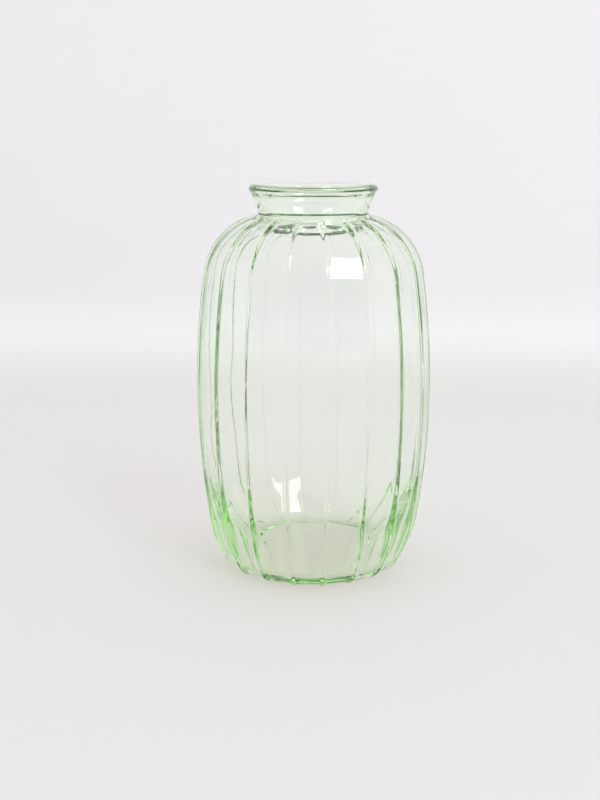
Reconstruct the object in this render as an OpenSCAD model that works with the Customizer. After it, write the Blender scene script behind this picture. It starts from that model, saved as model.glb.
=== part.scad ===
// Ribbed bud vase: an 18-panel glass barrel with a round shoulder, a flared neck and a rolled lip.
// The real vase is one piece of glass. Each node is one zone of it, and the zones meet face to face
// at level planes. Origin: centre of the base, on the plane that the vase stands on. Z is up.

/* [Barrel] */
// Largest outside radius, measured to the ribs between the flat panels
belly_r = 36.6; // [35.8:0.1:37]
// Height of the largest radius
belly_z = 57; // [55:0.5:59]
// Radius of the long upright curve of the side
side_curve_r = 255; // [235:5:280]
// Wall thickness at the middle of a panel
wall = 2.2; // [2:0.1:2.6]

/* [Shoulder] */
// Height at which the shoulder's curve runs level
shoulder_top_z = 111.5; // [111.4:0.1:112]
// Radius of the shoulder's curve
shoulder_curve_r = 20.8; // [20:0.1:21.5]
// Height of the inside of the shoulder, round the throat
ceiling_z = 108.2; // [107.6:0.1:108.6]
// Radius of the curve inside the shoulder
ceiling_curve_r = 18; // [17.6:0.1:18.4]

/* [Heel and base] */
// Height where the side starts to turn in
heel_z = 16.5; // [15.5:0.5:17.5]
// Radius of the curve from the side to the foot
heel_curve_r = 34; // [33:0.5:36]
// Radius of the last turn under the foot
foot_curve_r = 8.4; // [8:0.1:8.8]
// Radius of the inside corner between the floor and the wall
floor_corner_r = 5; // [4.5:0.1:5.5]
// Height below which the wall thickens towards the floor
thicker_below_z = 34; // [31:1:36]
// Radius of the inside curve of that thicker wall
low_curve_r = 60; // [57:1:64]
// Radius of the shallow recess under the base
recess_r = 17.5; // [15:0.5:18]
// Depth of that recess
recess_depth = 0.6; // [0.4:0.1:1.2]

/* [Neck and lip] */
// Height of the lip's top, which is the height of the vase
vase_h = 120; // [119.6:0.1:120.4]
// Outside radius of the neck at its root
neck_root_r = 16.8; // [16.4:0.1:17.2]
// Outside radius of the neck under the lip
neck_top_r = 19; // [18.6:0.1:19.2]
// Radius of the clear throat
throat_r = 14.4; // [14:0.1:14.8]
// Height where the straight throat ends and the mouth opens out
throat_top_z = 116.8; // [115:0.1:116.8]
// Radius of the mouth at the top of the lip
mouth_r = 17.2; // [16.8:0.1:17.6]
// Outside radius of the rolled lip
lip_r = 19.8; // [19.5:0.1:20]
// Radius of the lip's round edge
lip_edge_r = 1.25; // [1.1:0.05:1.3]

/* [Hidden] */
$fn = 96;
PANELS = 18;
FAR = 60;       // beyond the glass on every side
PAST = 1;       // how far a cutter runs past the level where its zone ends
RECESS_SLOPE = 1;   // how far the side of the recess leans out as it comes down
CREASE = 0.3;   // drop from the shoulder's level top to the crease at the neck's root
NECK_FOOT = 0.8;    // height of the upright foot of the neck's outside
GLASS = [0.72, 0.86, 0.74, 0.6];

// The side, shoulder, heel and foot curves of a panel, each touching the next
panel_r = belly_r * cos(180 / PANELS);
side_x = panel_r - side_curve_r;
shoulder_z = shoulder_top_z - shoulder_curve_r;
shoulder_x = nested_x(side_x, belly_z, side_curve_r, shoulder_curve_r, shoulder_z);
lean = asin((belly_z - heel_z) / side_curve_r);
heel_x = side_x + (side_curve_r - heel_curve_r) * cos(lean);
heel_curve_z = belly_z - (side_curve_r - heel_curve_r) * sin(lean);
foot_x = nested_x(heel_x, heel_curve_z, heel_curve_r, foot_curve_r, foot_curve_r);

// Levels where one zone ends and the next starts: the points where the curves touch
floor_z = touch_z(heel_curve_z, heel_curve_r, foot_curve_r, foot_curve_r);
shoulder_start_z = touch_z(belly_z, side_curve_r, shoulder_curve_r, shoulder_z);
neck_root_z = shoulder_top_z - CREASE;
lip_root_z = vase_h - 2 * lip_edge_r;
lip_root_in_r = throat_r + (mouth_r - throat_r) * (lip_root_z - throat_top_z) / (vase_h - throat_top_z);

// Inside, the side's curve shares its centre and is shorter by the wall. Low down, a tighter curve and
// then the corner bring the inside in to the floor. At the top, the ceiling's curve brings it in
inner_r = side_curve_r - wall;
low_lean = asin((belly_z - thicker_below_z) / inner_r);
low_x = side_x + (inner_r - low_curve_r) * cos(low_lean);
low_z = belly_z - (inner_r - low_curve_r) * sin(low_lean);
corner_z = floor_z + floor_corner_r;
corner_x = nested_x(low_x, low_z, low_curve_r, floor_corner_r, corner_z);
corner_top_z = touch_z(low_z, low_curve_r, floor_corner_r, corner_z);
ceiling_curve_z = ceiling_z - ceiling_curve_r;
ceiling_x = nested_x(side_x, belly_z, inner_r, ceiling_curve_r, ceiling_curve_z);
ceiling_start_z = touch_z(belly_z, inner_r, ceiling_curve_r, ceiling_curve_z);

// How far out the centre of a circle of radius r at height z lies, where that circle touches the
// circle of radius big_r centred at [x, big_z] from inside
function nested_x(x, big_z, big_r, r, z) = x + sqrt(pow(big_r - r, 2) - pow(z - big_z, 2));
// Height of the point where those two circles touch
function touch_z(big_z, big_r, r, z) = big_z + big_r * (z - big_z) / (big_r - r);

// What lies outside one curve of the outline, on its side of the axis and between two levels
module beyond_curve(x, z, r, z0, z1) {
    difference() {
        translate([max(x, 0), z0]) square([2 * FAR, z1 - z0]);
        translate([x, z]) circle(r);
    }
}

// Solid with one flat panel on each side of the axis, curved upright, between two levels
module panel_pair(x, z, r, z0, z1) {
    rotate([90, 0, 0]) linear_extrude(2 * FAR, center = true) difference() {
        translate([-FAR, z0]) square([2 * FAR, z1 - z0]);
        beyond_curve(x, z, r, z0, z1);
        mirror([1, 0]) beyond_curve(x, z, r, z0, z1);
    }
}

// What all the pairs of panels have in common
module panelled(x, z, r, z0, z1) {
    intersection_for(i = [0 : PANELS / 2 - 1])
        rotate([0, 0, (i + 0.5) * 360 / PANELS]) panel_pair(x, z, r, z0, z1);
}

// Round solid inside one curve, between two levels
module turned(x, z, r, z0, z1) {
    rotate_extrude() intersection() {
        translate([x, z]) circle(r);
        translate([0, z0]) square([FAR, z1 - z0]);
    }
}

// Floor, with the rounded foot and the shallow recess under it
module base() {
    color(GLASS) difference() {
        panelled(foot_x, foot_curve_r, foot_curve_r, 0, floor_z);
        rotate_extrude() polygon([
            [0, -PAST],
            [recess_r + RECESS_SLOPE, -PAST],
            [recess_r + RECESS_SLOPE, 0],
            [recess_r, recess_depth],
            [0, recess_depth],
        ]);
    }
}

// Thick side below the barrel, round the inside corner that meets the floor
module heel() {
    top_z = heel_z + PAST;
    color(GLASS) difference() {
        panelled(heel_x, heel_curve_z, heel_curve_r, floor_z, heel_z);
        rotate_extrude() difference() {
            translate([0, floor_z]) square([FAR, top_z - floor_z]);
            beyond_curve(low_x, low_z, low_curve_r, floor_z, top_z);
            beyond_curve(corner_x, corner_z, floor_corner_r, floor_z, corner_top_z);
        }
        translate([0, 0, floor_z - PAST]) cylinder(h = 2 * PAST, r = corner_x);
    }
}

module barrel() {
    bottom_z = heel_z - PAST;
    top_z = shoulder_start_z + PAST;
    color(GLASS) difference() {
        panelled(side_x, belly_z, side_curve_r, heel_z, shoulder_start_z);
        rotate_extrude() difference() {
            translate([0, bottom_z]) square([FAR, top_z - bottom_z]);
            beyond_curve(side_x, belly_z, inner_r, bottom_z, top_z);
            beyond_curve(low_x, low_z, low_curve_r, bottom_z, thicker_below_z);
            beyond_curve(ceiling_x, ceiling_curve_z, ceiling_curve_r, ceiling_start_z, top_z);
        }
    }
}

module shoulder() {
    start_z = shoulder_start_z - PAST;
    color(GLASS) difference() {
        panelled(shoulder_x, shoulder_z, shoulder_curve_r, shoulder_start_z, neck_root_z);
        turned(ceiling_x, ceiling_curve_z, ceiling_curve_r, start_z, vase_h);
        translate([0, 0, start_z]) cylinder(h = ceiling_z - start_z, r = ceiling_x);
        translate([0, 0, start_z]) cylinder(h = vase_h, r = throat_r);
    }
}

// Flared neck from its root up to the underside of the lip, with the straight throat inside it
module neck() {
    color(GLASS) rotate_extrude() polygon([
        [throat_r, neck_root_z],
        [neck_root_r, neck_root_z],
        [neck_root_r, neck_root_z + NECK_FOOT],
        [neck_top_r, lip_root_z],
        [lip_root_in_r, lip_root_z],
        [throat_r, throat_top_z],
    ]);
}

// Rolled bead round the mouth
module lip() {
    edge_x = lip_r - lip_edge_r;
    color(GLASS) rotate_extrude() union() {
        translate([edge_x, lip_root_z + lip_edge_r]) circle(lip_edge_r);
        polygon([
            [lip_root_in_r, lip_root_z],
            [edge_x, lip_root_z],
            [edge_x, vase_h],
            [mouth_r, vase_h],
        ]);
    }
}

base();
heel();
barrel();
shoulder();
neck();
lip();
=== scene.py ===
"""Ribbed bud vase of pale green glass: the look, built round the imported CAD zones.

The real vase is one piece of glass, so one closed mesh stands for the six CAD zones. Its sizes come
from the zones' boxes and from the same curves as the CAD. It adds the softly raised ribs with their
shallow grooves inside, the rounded rim and edges, and the slight unevenness of glass that was blown
in a mould. Lengths in the profile are millimetres; the mesh is in metres.
"""

import math

import bpy
import numpy as np
from mathutils import Matrix, Vector


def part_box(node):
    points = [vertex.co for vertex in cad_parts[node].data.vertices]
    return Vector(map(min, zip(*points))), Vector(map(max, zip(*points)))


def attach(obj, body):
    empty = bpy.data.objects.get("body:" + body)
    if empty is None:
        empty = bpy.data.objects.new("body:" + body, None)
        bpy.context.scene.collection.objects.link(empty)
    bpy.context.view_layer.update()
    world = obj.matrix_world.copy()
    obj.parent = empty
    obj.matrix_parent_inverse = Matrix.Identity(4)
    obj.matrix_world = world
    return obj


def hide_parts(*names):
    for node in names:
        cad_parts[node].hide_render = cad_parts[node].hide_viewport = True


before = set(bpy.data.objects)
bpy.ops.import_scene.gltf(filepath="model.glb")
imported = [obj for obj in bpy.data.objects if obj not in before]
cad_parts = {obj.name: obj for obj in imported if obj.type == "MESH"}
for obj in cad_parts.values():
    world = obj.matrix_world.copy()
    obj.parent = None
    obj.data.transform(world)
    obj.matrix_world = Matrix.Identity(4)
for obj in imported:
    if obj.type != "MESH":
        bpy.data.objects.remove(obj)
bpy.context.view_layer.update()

NODES = ["base", "heel", "barrel", "shoulder", "neck", "lip"]
MM = 0.001


def top_of(node):
    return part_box(node)[1].z / MM


def reach_x(node):
    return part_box(node)[1].x / MM


# ---------------------------------------------------------------- sizes, in mm
PANELS = 18
HALF = math.pi / PANELS                     # from the middle of a panel to a rib

FLOOR_TOP = top_of("base")
HEEL_Z = top_of("heel")
LIP_ROOT_Z = top_of("neck")
VASE_H = top_of("lip")
LIP_R = reach_x("lip")
NECK_TOP_R = reach_x("neck")
PANEL_R = -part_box("barrel")[0].y / MM       # a panel faces -Y

WALL = 2.2
SIDE_R, BELLY_Z = 255.0, 57.0
SHOULDER_R, SHOULDER_TOP = 20.8, 111.5
HEEL_R, FOOT_R = 34.0, 8.4
CORNER_R = 5.0
LOW_R, THICKER_BELOW = 60.0, 34.0           # inside curve of the wall where it thickens downwards
CEILING_Z, CEILING_R = 108.2, 18.0          # level top of the hollow, and its curve out to the side
NECK_ROOT_R, NECK_FOOT_Z, THROAT_R, THROAT_TOP = 16.8, 112.3, 14.4, 116.8
MOUTH_R = 17.2
LIP_EDGE = 1.25
RECESS_R, RECESS_DEPTH = 17.5, 0.6          # shallow recess under the base
RECESS_SLOPE = 1.0                          # how far its side leans out on the way down
RECESS_RISE = 0.2                           # how much deeper it is at the axis
FLOOR_CROWN = 0.25                          # how much higher the floor is at the axis

# Radii of the rounds that the CAD leaves sharp: under the base, then outside, then inside
RECESS_ROUND = 0.6
CREASE_ROUND, WAIST_ROUND, NOOK_ROUND = 0.45, 2.2, 0.25
RIM_ROUND, THROAT_ROUND, THROAT_EDGE_ROUND = 0.9, 3.0, 1.3
CREASE_R = 17.9                             # where the shoulder's curve stops for the crease
BEAD_FROM = math.radians(-62)               # angle round the lip's bead where the neck joins it
NOOK_ANGLE = 0.35                           # how much of the bead that joint's round takes
CEILING_TRIM = 0.16                         # how much of the ceiling's curve the throat's edge takes
TURN_STEP = 0.02                            # a short step along a curve, to find its direction

# Each rib is a low rounded ridge on the edge between two panels. The panels lie a little inside the
# CAD's, so that the ridge's crown stays inside the CAD's sharp edge
INSET = 0.26
RIDGE_H, RIDGE_HALF = 0.25, 1.15            # height over the edge, and half the width
EDGE_ROUND = 0.35                           # how far from the rib the edge is rounded off
GROOVE_H, GROOVE_HALF = 0.08, 1.6           # the soft groove behind each ridge, inside
GROOVE_ROUND = 0.6
RIBS_END_R, RIBS_FADE_R = 17.4, 22.0        # on the shoulder the ribs fade between these radii
GROOVES_END_Z, GROOVES_FULL_Z = 12.0, 24.0  # inside, the grooves fade out towards the floor
CREASE_DROP = 0.3                           # from the shoulder's level top to the crease

# Angles of the mesh's columns from the middle of a panel, closer together on the ridges
COLUMNS = np.radians([0, 3.0, 5.2, 6.8, 7.7, 8.2, 8.6, 8.95, 9.25, 9.5, 9.75, 10.0])

# Unevenness of blown glass, as sine waves: size, waves round the vase, radians per mm of height, start
WAVES = [(1, 3, 0.09, 0.4), (0.7, 5, -0.16, 2.1), (0.5, 2, 0.31, 4.0), (0.4, 9, 0.22, 1.2)]
RIPPLES = [(1, 6, 0.62, 1.3), (0.8, -13, 0.41, 0.5), (0.5, 17, 1.05, 2.2)]
WAVE_INSIDE, WAVE_OUTSIDE, RIPPLE_OUTSIDE = 0.05, 0.006, 0.005


def nested_x(x, big_z, big_r, r, z):
    """Centre of a circle of radius r at height z that touches the big circle from inside."""
    return x + math.sqrt((big_r - r) ** 2 - (z - big_z) ** 2)


SIDE_X = PANEL_R - SIDE_R
SHOULDER_CZ = SHOULDER_TOP - SHOULDER_R
SHOULDER_X = nested_x(SIDE_X, BELLY_Z, SIDE_R, SHOULDER_R, SHOULDER_CZ)
LEAN = math.asin((BELLY_Z - HEEL_Z) / SIDE_R)
HEEL_X = SIDE_X + (SIDE_R - HEEL_R) * math.cos(LEAN)
HEEL_CZ = BELLY_Z - (SIDE_R - HEEL_R) * math.sin(LEAN)
FOOT_X = nested_x(HEEL_X, HEEL_CZ, HEEL_R, FOOT_R, FOOT_R)
LOW_START = math.asin((THICKER_BELOW - BELLY_Z) / (SIDE_R - WALL))
LOW_X = SIDE_X + (SIDE_R - WALL - LOW_R) * math.cos(LOW_START)
LOW_CZ = BELLY_Z + (SIDE_R - WALL - LOW_R) * math.sin(LOW_START)
CORNER_CZ = FLOOR_TOP + CORNER_R
CEILING_CZ = CEILING_Z - CEILING_R
CEILING_X = nested_x(SIDE_X, BELLY_Z, SIDE_R - WALL, CEILING_R, CEILING_CZ)
CORNER_X = nested_x(LOW_X, LOW_CZ, LOW_R, CORNER_R, CORNER_CZ)

# Angles, from level, at which the curves touch, in radians
FOOT_END = math.atan2(FOOT_R - HEEL_CZ, FOOT_X - HEEL_X)
SHOULDER_START = math.atan2(SHOULDER_CZ - BELLY_Z, SHOULDER_X - SIDE_X)
CEILING_START = math.atan2(CEILING_CZ - BELLY_Z, CEILING_X - SIDE_X)
CORNER_END = math.atan2(CORNER_CZ - LOW_CZ, CORNER_X - LOW_X)


# ---------------------------------------------------------------- profile
def arc(x, z, r, a0, a1, n):
    """n points along an arc, without its last one, so that the next run can start there."""
    a = np.linspace(a0, a1, n + 1)[:-1]
    return np.column_stack([x + r * np.cos(a), z + r * np.sin(a)])


def fillet(a, b, c, r, n):
    """Points of a round of radius r in the corner a-b-c."""
    a, b, c = (np.array(p, float) for p in (a, b, c))
    u, v = (a - b) / np.linalg.norm(a - b), (c - b) / np.linalg.norm(c - b)
    half = math.acos(float(np.clip(u @ v, -1, 1))) / 2
    w = (u + v) / np.linalg.norm(u + v)
    centre = b + w * r / math.sin(half)
    p, q = b + u * r / math.tan(half), b + v * r / math.tan(half)
    a0, a1 = math.atan2(*(p - centre)[::-1]), math.atan2(*(q - centre)[::-1])
    turn = (a1 - a0 + math.pi) % (2 * math.pi) - math.pi
    t = np.linspace(a0, a0 + turn, n + 1)
    return np.column_stack([centre[0] + r * np.cos(t), centre[1] + r * np.sin(t)])


def line(a, b, n):
    """n points from a towards b, without b."""
    t = np.linspace(0, 1, n + 1)[:-1, None]
    return np.array(a, float) * (1 - t) + np.array(b, float) * t


def outside():
    """The outer profile, from the axis under the base to the top of the lip."""
    roof, brim, sole = (0, RECESS_DEPTH + RECESS_RISE), (RECESS_R, RECESS_DEPTH), (RECESS_R + RECESS_SLOPE, 0)
    brim_round = fillet(roof, brim, sole, RECESS_ROUND, 5)
    sole_round = fillet(brim, sole, (FOOT_X, 0), RECESS_ROUND, 5)
    rest = line(sole_round[-1], (FOOT_X, 0), 2)[1:]
    under = np.vstack([line(roof, brim_round[0], 6), brim_round, sole_round, rest])
    foot = arc(FOOT_X, FOOT_R, FOOT_R, -math.pi / 2, FOOT_END, 16)
    heel = arc(HEEL_X, HEEL_CZ, HEEL_R, FOOT_END, -LEAN, 10)
    side = arc(SIDE_X, BELLY_Z, SIDE_R, -LEAN, SHOULDER_START, 21)
    root_a = math.acos((CREASE_R - SHOULDER_X) / SHOULDER_R)
    dome = arc(SHOULDER_X, SHOULDER_CZ, SHOULDER_R, SHOULDER_START, root_a, 32)
    on_dome = arc(SHOULDER_X, SHOULDER_CZ, SHOULDER_R, root_a, root_a + TURN_STEP, 2)
    run = on_dome[1] - on_dome[0]
    corner = on_dome[0] + run * (NECK_ROOT_R - on_dome[0][0]) / run[0]
    upright = (NECK_ROOT_R, NECK_FOOT_Z)
    flare = (NECK_TOP_R, LIP_ROOT_Z)
    crease = fillet(on_dome[0], corner, upright, CREASE_ROUND, 8)
    waist = fillet(corner, upright, flare, WAIST_ROUND, 8)
    bead_x, bead_z = LIP_R - LIP_EDGE, VASE_H - LIP_EDGE
    joint = (bead_x + LIP_EDGE * math.cos(BEAD_FROM), bead_z + LIP_EDGE * math.sin(BEAD_FROM))
    nook = fillet(waist[-1], flare, joint, NOOK_ROUND, 4)
    bead = arc(bead_x, bead_z, LIP_EDGE, BEAD_FROM + NOOK_ANGLE, math.pi / 2, 18)
    funnel = line(waist[-1], nook[0], 5)[1:]
    return np.vstack([under, foot, heel, side, dome, crease, waist, funnel, nook, bead])


def inside():
    """The inner profile, from the top of the lip down to the axis on the floor."""
    mouth = (MOUTH_R, VASE_H)
    throat = (THROAT_R, THROAT_TOP)
    dome_a = math.acos((THROAT_R - CEILING_X) / CEILING_R)
    edge = (THROAT_R, CEILING_CZ + CEILING_R * math.sin(dome_a))
    dome = arc(CEILING_X, CEILING_CZ, CEILING_R, dome_a - CEILING_TRIM, CEILING_START, 18)
    rim = fillet((LIP_R - LIP_EDGE, VASE_H), mouth, throat, RIM_ROUND, 8)
    waist = fillet(mouth, throat, edge, THROAT_ROUND, 7)
    turn = fillet(throat, edge, dome[0], THROAT_EDGE_ROUND, 8)
    side = arc(SIDE_X, BELLY_Z, SIDE_R - WALL, CEILING_START, LOW_START, 16)
    low = arc(LOW_X, LOW_CZ, LOW_R, LOW_START, CORNER_END, 16)
    corner = arc(CORNER_X, CORNER_CZ, CORNER_R, CORNER_END, -math.pi / 2, 14)
    r = np.linspace(CORNER_X, 0, 7)
    floor = np.column_stack([r, FLOOR_TOP + FLOOR_CROWN * (1 - (r / CORNER_X) ** 2) ** 2])
    return np.vstack([
        rim, line(rim[-1], waist[0], 6)[1:], waist, line(waist[-1], turn[0], 3)[1:], turn,
        dome, side, low, corner, floor,
    ])


def normals_of(profile):
    """Unit normals of the profile, to the right of its run: outwards for the whole closed outline."""
    d = np.gradient(profile, axis=0)
    d /= np.maximum(np.linalg.norm(d, axis=1, keepdims=True), 1e-9)
    return np.column_stack([d[:, 1], -d[:, 0]])


def smooth_step(v, a, b):
    t = np.clip((v - a) / (b - a), 0, 1)
    return t * t * (3 - 2 * t)


def sum_of_waves(waves, a, z):
    return sum(size * np.sin(turns * a + per_mm * z + begin) for size, turns, per_mm, begin in waves)


def rib_height(x, z, across, rib, inner_side, facing_out):
    """How far a panel's surface stands out from its middle, on the rounded edge and the ridge or groove."""
    from_rib = x * (HALF - np.abs(across))
    rounding = np.where(inner_side, GROOVE_ROUND, EDGE_ROUND)
    turned = np.clip(HALF - np.sqrt(from_rib ** 2 + rounding ** 2) / np.maximum(x, 5), 0, HALF)
    edge = x * (1 / np.cos(turned) - 1)
    h = np.where(inner_side, GROOVE_H, RIDGE_H)
    w = np.where(inner_side, GROOVE_HALF, RIDGE_HALF)
    ridge = h * np.clip(1 - (from_rib / w) ** 2, 0, None) ** 2
    # No two ribs are quite alike along their height
    ridge = ridge * (0.9 + 0.12 * np.sin(0.21 * z + 2.4 * rib) + 0.08 * np.sin(0.47 * z + 4.1 * rib))
    ends = smooth_step(x, RIBS_END_R, RIBS_FADE_R) * (z < SHOULDER_TOP - CREASE_DROP)
    ends = ends * np.where(inner_side, smooth_step(z, GROOVES_END_Z, GROOVES_FULL_Z), 1)
    stand_out = (edge * facing_out + ridge * smooth_step(facing_out, 0.05, 0.5)) * ends
    return stand_out * (facing_out > 0)


def unevenness(x, z, a, inner_side):
    """Broad, shallow waves on the body, fading out over the floor, the foot and the top of the shoulder."""
    wave = sum_of_waves(WAVES, a, z)
    ripple = sum_of_waves(RIPPLES, a, z)
    on_body = smooth_step(x, 22, 28) * smooth_step(z, 3, 12) * (1 - smooth_step(z, 105, 111))
    outer = WAVE_OUTSIDE * wave + RIPPLE_OUTSIDE * ripple
    return np.where(inner_side, WAVE_INSIDE * wave, outer) * on_body


def skin(radius, height, a):
    """Closed mesh through the rows of points. The first and last rows are single points on the axis."""
    rows, cols = radius.shape
    ring = np.stack([radius * np.cos(a), radius * np.sin(a), height], -1)[1:-1] * MM
    verts = [(0, 0, height[0, 0] * MM), *map(tuple, ring.reshape(-1, 3)), (0, 0, height[-1, 0] * MM)]
    last = len(verts) - 1
    faces = []
    for c in range(cols):
        d = (c + 1) % cols
        faces.append((0, 1 + d, 1 + c))
        faces.append((last, last - cols + c, last - cols + d))
    for r in range(rows - 3):
        p, q = 1 + r * cols, 1 + (r + 1) * cols
        for c in range(cols):
            d = (c + 1) % cols
            faces.append((p + c, p + d, q + d, q + c))
    mesh = bpy.data.meshes.new("vase")
    mesh.from_pydata(verts, [], faces)
    mesh.validate()
    mesh.shade_smooth()
    return mesh


def glass_mesh():
    outer, inner = outside(), inside()
    profile = np.vstack([outer, inner])
    normal = normals_of(profile)
    x, z = profile[:, 0:1], profile[:, 1:2]
    n_x, n_z = normal[:, 0:1], normal[:, 1:2]
    inner_side = np.arange(len(profile))[:, None] >= len(outer)
    facing_out = np.where(inner_side, -n_x, n_x)

    steps = np.concatenate([-COLUMNS[:0:-1], COLUMNS[:-1]])
    middles = HALF + 2 * HALF * np.arange(PANELS)
    azimuth = (middles[:, None] + steps[None, :]).ravel()
    across = np.tile(steps, PANELS)[None, :]
    rib = ((azimuth + HALF) // (2 * HALF)).astype(int)[None, :]
    a = azimuth[None, :]

    stand_out = rib_height(x, z, across, rib, inner_side, facing_out)
    uneven = unevenness(x, z, a, inner_side)
    # The panels' inset fades out where the neck, the lip and the level surfaces keep the CAD's place
    inset = INSET * smooth_step(x, 17, 21) * smooth_step(facing_out, 0.0, 0.3)
    shift = np.where(inner_side, -stand_out + uneven + inset, stand_out - uneven - inset)
    radius = x + n_x * shift
    height = np.clip(z + n_z * shift, 0, VASE_H)
    return skin(radius, height, a)


# ---------------------------------------------------------------- materials
GLASS_IOR = 1.5
GLASS_PASSES, GLASS_DENSITY = (0.4, 0.965, 0.08), 15.0      # absorption inside, in Blender's terms
LIGHT_PASSES = (0.945, 0.912, 0.93)         # what one surface lets through on the way to the stage
MOST_ROUGHNESS = 0.03
TABLE_COLOUR = (0.80, 0.79, 0.765)
WALL_COLOUR = (0.94, 0.925, 0.945)
WALL_FROM = 0.03                            # height at which the sweep has its wall colour
STAGE_ROUGHNESS = 0.75


def new_material(name):
    m = bpy.data.materials.new(name)
    m.use_nodes = True
    m.node_tree.nodes.clear()
    return m, m.node_tree.nodes, m.node_tree.links


def add_node(nodes, kind, **values):
    """A new node, with plain values set on its inputs. An underscore stands for a space."""
    node = nodes.new("ShaderNode" + kind)
    for name, value in values.items():
        node.inputs[name.replace("_", " ")].default_value = value
    return node


def glass_material():
    m, nodes, links = new_material("green_glass")
    out = add_node(nodes, "OutputMaterial")
    glass = add_node(nodes, "BsdfPrincipled", Base_Color=(1, 1, 1, 1), Transmission_Weight=1.0, IOR=GLASS_IOR)
    body = add_node(nodes, "VolumeAbsorption", Color=(*GLASS_PASSES, 1), Density=GLASS_DENSITY)
    links.new(body.outputs["Volume"], out.inputs["Volume"])

    # Fine unevenness of a fire-polished skin, and a slow variation of its polish
    where = add_node(nodes, "TexCoord")
    peel = add_node(nodes, "TexNoise", Scale=260.0, Detail=2.0)
    bump = add_node(nodes, "Bump", Strength=0.15, Distance=0.00005)
    drift = add_node(nodes, "TexNoise", Scale=45.0, Detail=3.0)
    polish = add_node(nodes, "MapRange", From_Min=0.35, From_Max=0.75, To_Min=0.0, To_Max=MOST_ROUGHNESS)
    links.new(where.outputs["Object"], peel.inputs["Vector"])
    links.new(peel.outputs["Fac"], bump.inputs["Height"])
    links.new(bump.outputs["Normal"], glass.inputs["Normal"])
    links.new(where.outputs["Object"], drift.inputs["Vector"])
    links.new(drift.outputs["Fac"], polish.inputs["Value"])
    links.new(polish.outputs["Result"], glass.inputs["Roughness"])

    # The stage is lit through the glass, with a light shadow in place of noisy caustics
    ray = add_node(nodes, "LightPath")
    clear = add_node(nodes, "BsdfTransparent", Color=(*LIGHT_PASSES, 1))
    surface = glass.outputs["BSDF"]
    for kind in ("Is Diffuse Ray", "Is Shadow Ray"):
        swap = add_node(nodes, "MixShader")
        links.new(ray.outputs[kind], swap.inputs[0])
        links.new(surface, swap.inputs[1])
        links.new(clear.outputs["BSDF"], swap.inputs[2])
        surface = swap.outputs["Shader"]
    links.new(surface, out.inputs["Surface"])
    return m


def sweep_material():
    """Warm near-white table that turns softly to a pale lavender wall."""
    m, nodes, links = new_material("pale_sweep")
    out = add_node(nodes, "OutputMaterial")
    paint = add_node(nodes, "BsdfPrincipled", Roughness=STAGE_ROUGHNESS)
    where = add_node(nodes, "TexCoord")
    split = add_node(nodes, "SeparateXYZ")
    ramp = add_node(nodes, "MapRange", From_Min=0.0, From_Max=WALL_FROM)
    ramp.interpolation_type = "SMOOTHSTEP"
    mix = add_node(nodes, "Mix")
    mix.data_type = "RGBA"
    mix.inputs["A"].default_value = (*TABLE_COLOUR, 1)
    mix.inputs["B"].default_value = (*WALL_COLOUR, 1)
    links.new(where.outputs["Object"], split.inputs["Vector"])
    links.new(split.outputs["Z"], ramp.inputs["Value"])
    links.new(ramp.outputs["Result"], mix.inputs["Factor"])
    links.new(mix.outputs["Result"], paint.inputs["Base Color"])
    links.new(paint.outputs["BSDF"], out.inputs["Surface"])
    return m


def add_object(name, data):
    ob = bpy.data.objects.new(name, data)
    bpy.context.scene.collection.objects.link(ob)
    return ob


def face(ob, direction):
    """Turns a camera or lamp so that it looks in a direction."""
    ob.rotation_mode = "QUATERNION"
    ob.rotation_quaternion = direction.to_track_quat("-Z", "Y")


# ---------------------------------------------------------------- the vase
vase = add_object("vase", glass_mesh())
vase.data.materials.append(glass_material())
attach(vase, "root")
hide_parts(*NODES)

# ---------------------------------------------------------------- camera, in metres and degrees
TURN = Matrix.Rotation(math.radians(3.54), 4, "Z")   # puts a rib just right of the middle
PITCH = math.radians(11.93)
CAMERA_AT = (-0.00401, -0.384, 0.1343)
cam = bpy.data.cameras.new("camera")
cam.lens = 56.25
cam.sensor_width = 36.0
cam.clip_start = 0.01
camera = add_object("camera", cam)
camera.location = TURN @ Vector(CAMERA_AT)
face(camera, TURN @ Vector((0, math.cos(PITCH), -math.sin(PITCH))))
bpy.context.scene.camera = camera

# ---------------------------------------------------------------- stage and light, in metres
TABLE_DEPTH = 0.31      # from the vase's axis to the wall
BEND_R = 0.05
STAGE_REACH = 3.0
STAGE_DROP = 0.0001     # keeps the table just clear of the glass
BEND_STEPS = 16


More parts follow.
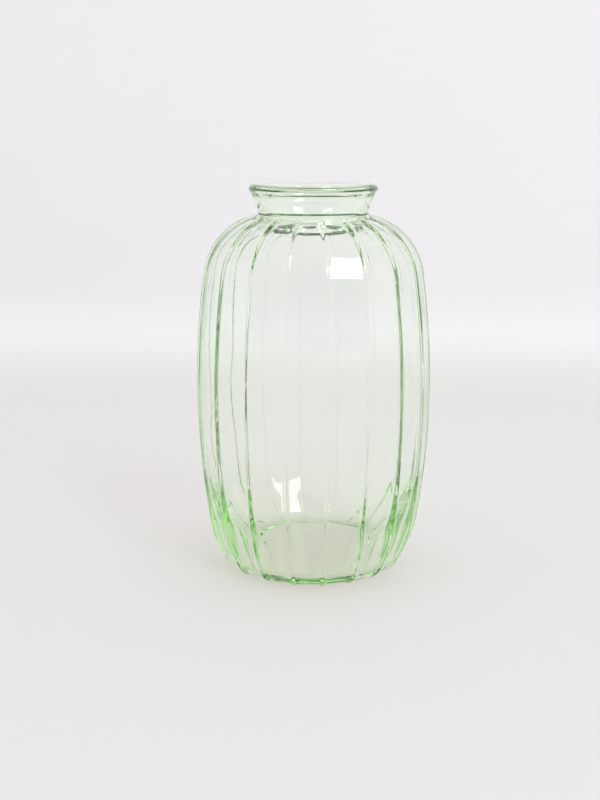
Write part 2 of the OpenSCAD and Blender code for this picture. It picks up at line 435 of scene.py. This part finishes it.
def sweep_mesh():
    """One sheet: a level table that bends up into an upright wall."""
    bend_y = TABLE_DEPTH - BEND_R
    path = [(-STAGE_REACH, 0.0), (-1.0, 0.0), (0.0, 0.0), (bend_y, 0.0)]
    for v in np.linspace(0, math.pi / 2, BEND_STEPS + 1)[1:]:
        path.append((bend_y + BEND_R * math.sin(v), BEND_R * (1 - math.cos(v))))
    path += [(TABLE_DEPTH, 0.6), (TABLE_DEPTH, STAGE_REACH)]
    across = (-STAGE_REACH, 0.0, STAGE_REACH)
    verts = [(x, y, z - STAGE_DROP) for y, z in path for x in across]
    faces = []
    for i in range(len(path) - 1):
        for j in range(len(across) - 1):
            k = i * len(across) + j
            faces.append((k, k + 1, k + len(across) + 1, k + len(across)))
    mesh = bpy.data.meshes.new("sweep")
    mesh.from_pydata(verts, [], faces)
    mesh.shade_smooth()
    return mesh


sweep = add_object("sweep", sweep_mesh())
sweep.matrix_world = TURN
sweep.data.materials.append(sweep_material())

# A tall window to the front and right. Its lamp faces the axis, level
WINDOW_SIDE = math.radians(34)
WINDOW_AWAY, WINDOW_Z = 2.4, 1.98
window_lamp = bpy.data.lights.new("window", "AREA")
window_lamp.shape = "RECTANGLE"
window_lamp.size, window_lamp.size_y = 0.9, 1.8
window_lamp.energy = 40.0
window = add_object("window", window_lamp)
window_side = Vector((math.sin(WINDOW_SIDE), -math.cos(WINDOW_SIDE), 0)) * WINDOW_AWAY
window.location = TURN @ (window_side + Vector((0, 0, WINDOW_Z)))
face(window, TURN @ -window_side)

# The room: bright behind and above the vase, darker behind the camera
ROOM_FRONT, ROOM_BACK = 0.4, 1.06
ROOM_COLOUR = (0.97, 0.98, 1.0)
world = bpy.data.worlds.new("room")
world.use_nodes = True
bpy.context.scene.world = world
room, links = world.node_tree.nodes, world.node_tree.links
sky = room["Background"]
sky.inputs["Color"].default_value = (*ROOM_COLOUR, 1)
direction = add_node(room, "TexCoord")
split = add_node(room, "SeparateXYZ")
to_back = add_node(room, "MapRange", From_Min=-0.9, From_Max=-0.1, To_Min=ROOM_FRONT, To_Max=ROOM_BACK)
to_back.interpolation_type = "SMOOTHSTEP"
links.new(direction.outputs["Generated"], split.inputs["Vector"])
links.new(split.outputs["Y"], to_back.inputs["Value"])
links.new(to_back.outputs["Result"], sky.inputs["Strength"])

scene = bpy.context.scene
scene.view_settings.view_transform = "Standard"
scene.cycles.max_bounces = 40           # light runs far inside the wall before it comes out
scene.cycles.transmission_bounces = 40
scene.cycles.glossy_bounces = 12
